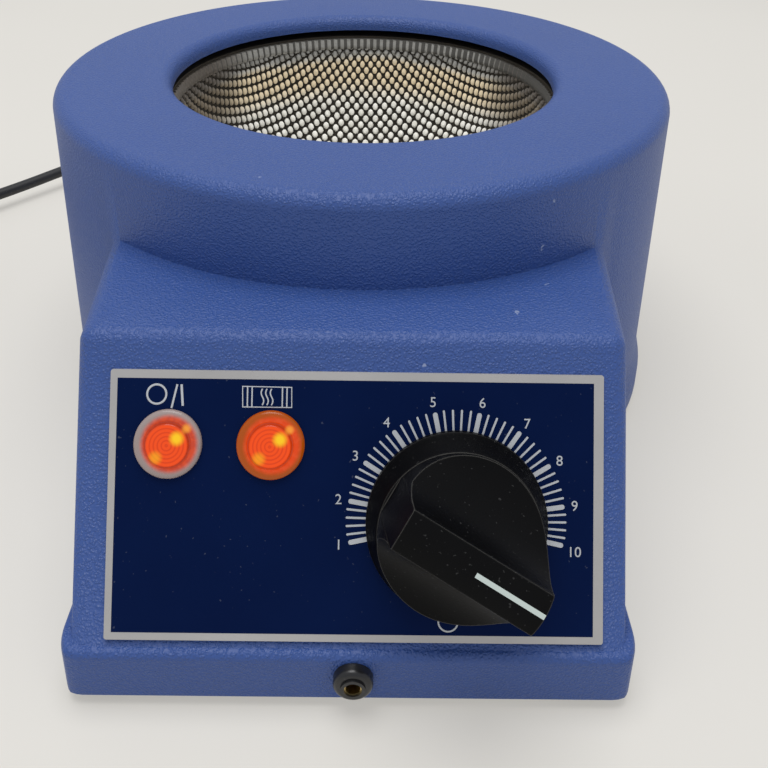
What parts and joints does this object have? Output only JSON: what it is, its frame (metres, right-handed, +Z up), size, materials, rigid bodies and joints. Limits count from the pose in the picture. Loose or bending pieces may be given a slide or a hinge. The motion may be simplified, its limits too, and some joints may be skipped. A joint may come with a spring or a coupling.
{
  "type": "heating mantle",
  "caption": "Laboratory heating mantle: blue moulded drum with a mesh-lined heated bowl for a round flask, and a sloping control housing with dial and lamps.",
  "frame": {"origin": "on the surface the mantle stands on, under the middle of the mantle without its mains lead", "axes": "+X to the right, +Y from the control panel to the drum and the lead's outlet, +Z up"},
  "size_m": [0.383, 0.3837, 0.1115],
  "materials": {
    "case_blue": "leather-grained satin polypropylene",
    "sheet_steel": "plated sheet steel",
    "foot_rubber": "matt black rubber",
    "screw_steel": "bright zinc plate",
    "screen_wire": "heat-tinted woven wire",
    "glass_cloth": "knitted glass yarn",
    "glass_wool": "matted glass wool",
    "pan_aluminium": "spun aluminium",
    "porcelain": "glazed porcelain",
    "glass_sleeve": "braided glass sleeve",
    "label_navy": "screen-printed film with a silver border",
    "clear_lens": "clear moulded lens",
    "amber_lens": "amber moulded lens",
    "white_nylon": "moulded nylon",
    "neon_glass": "neon glow lamp",
    "regulator_black": "moulded phenolic",
    "terminal_brass": "plain brass",
    "knob_black": "satin black phenolic",
    "pointer_white": "white filled line",
    "jack_black": "black nylon",
    "lead_brown": "insulated lead",
    "lead_green": "insulated lead",
    "cord_rubber": "black rubber sheath",
    "tie_nylon": "hook and loop strap",
    "plug_black": "moulded black plug",
    "fuse_red": "moulded red carrier"
  },
  "bodies": {
    "mantle": {"outer_case": "case_blue", "base_plate": "sheet_steel", "rubber_feet": "foot_rubber", "base_screws": "screw_steel", "mesh_screen": "screen_wire", "element_bowl": "glass_cloth", "insulation": "glass_wool", "heat_pan": "pan_aluminium", "clamp_ring": "sheet_steel", "ring_screws": "screw_steel", "lead_bush": "porcelain", "element_leads": "glass_sleeve", "panel_label": "label_navy", "mains_lamp_lens": "clear_lens", "mains_lamp_body": "white_nylon", "mains_neon": "neon_glass", "heat_lamp_lens": "amber_lens", "heat_lamp_body": "white_nylon", "heat_neon": "neon_glass", "lamp_clips": "screw_steel", "energy_regulator": "regulator_black", "regulator_tabs": "terminal_brass", "regulator_nut": "screw_steel", "jack_socket": "jack_black", "jack_liner": "terminal_brass", "jack_nut": "jack_black", "terminal_block": "white_nylon", "terminal_screws": "terminal_brass", "supply_leads": "lead_brown", "earth_stud": "terminal_brass", "earth_lead": "lead_green", "strain_relief": "cord_rubber", "inner_cord": "cord_rubber", "mains_cord": "cord_rubber", "cord_coil": "cord_rubber", "cord_tail": "cord_rubber", "cord_tie": "tie_nylon", "plug_body": "plug_black", "plug_pins": "terminal_brass", "fuse_carrier": "fuse_red"},
    "knob": {"regulator_spindle": "screw_steel", "control_knob": "knob_black", "pointer_strip": "pointer_white"}
  },
  "joints": [
    {"name": "regulator_turn", "type": "hinge", "parent": "mantle", "child": "knob", "pos_m": [0.0253, -0.12611, 0.04485], "axis": [0, -0.9011, 0.4337], "range_deg": [0, 296]}
  ]
}
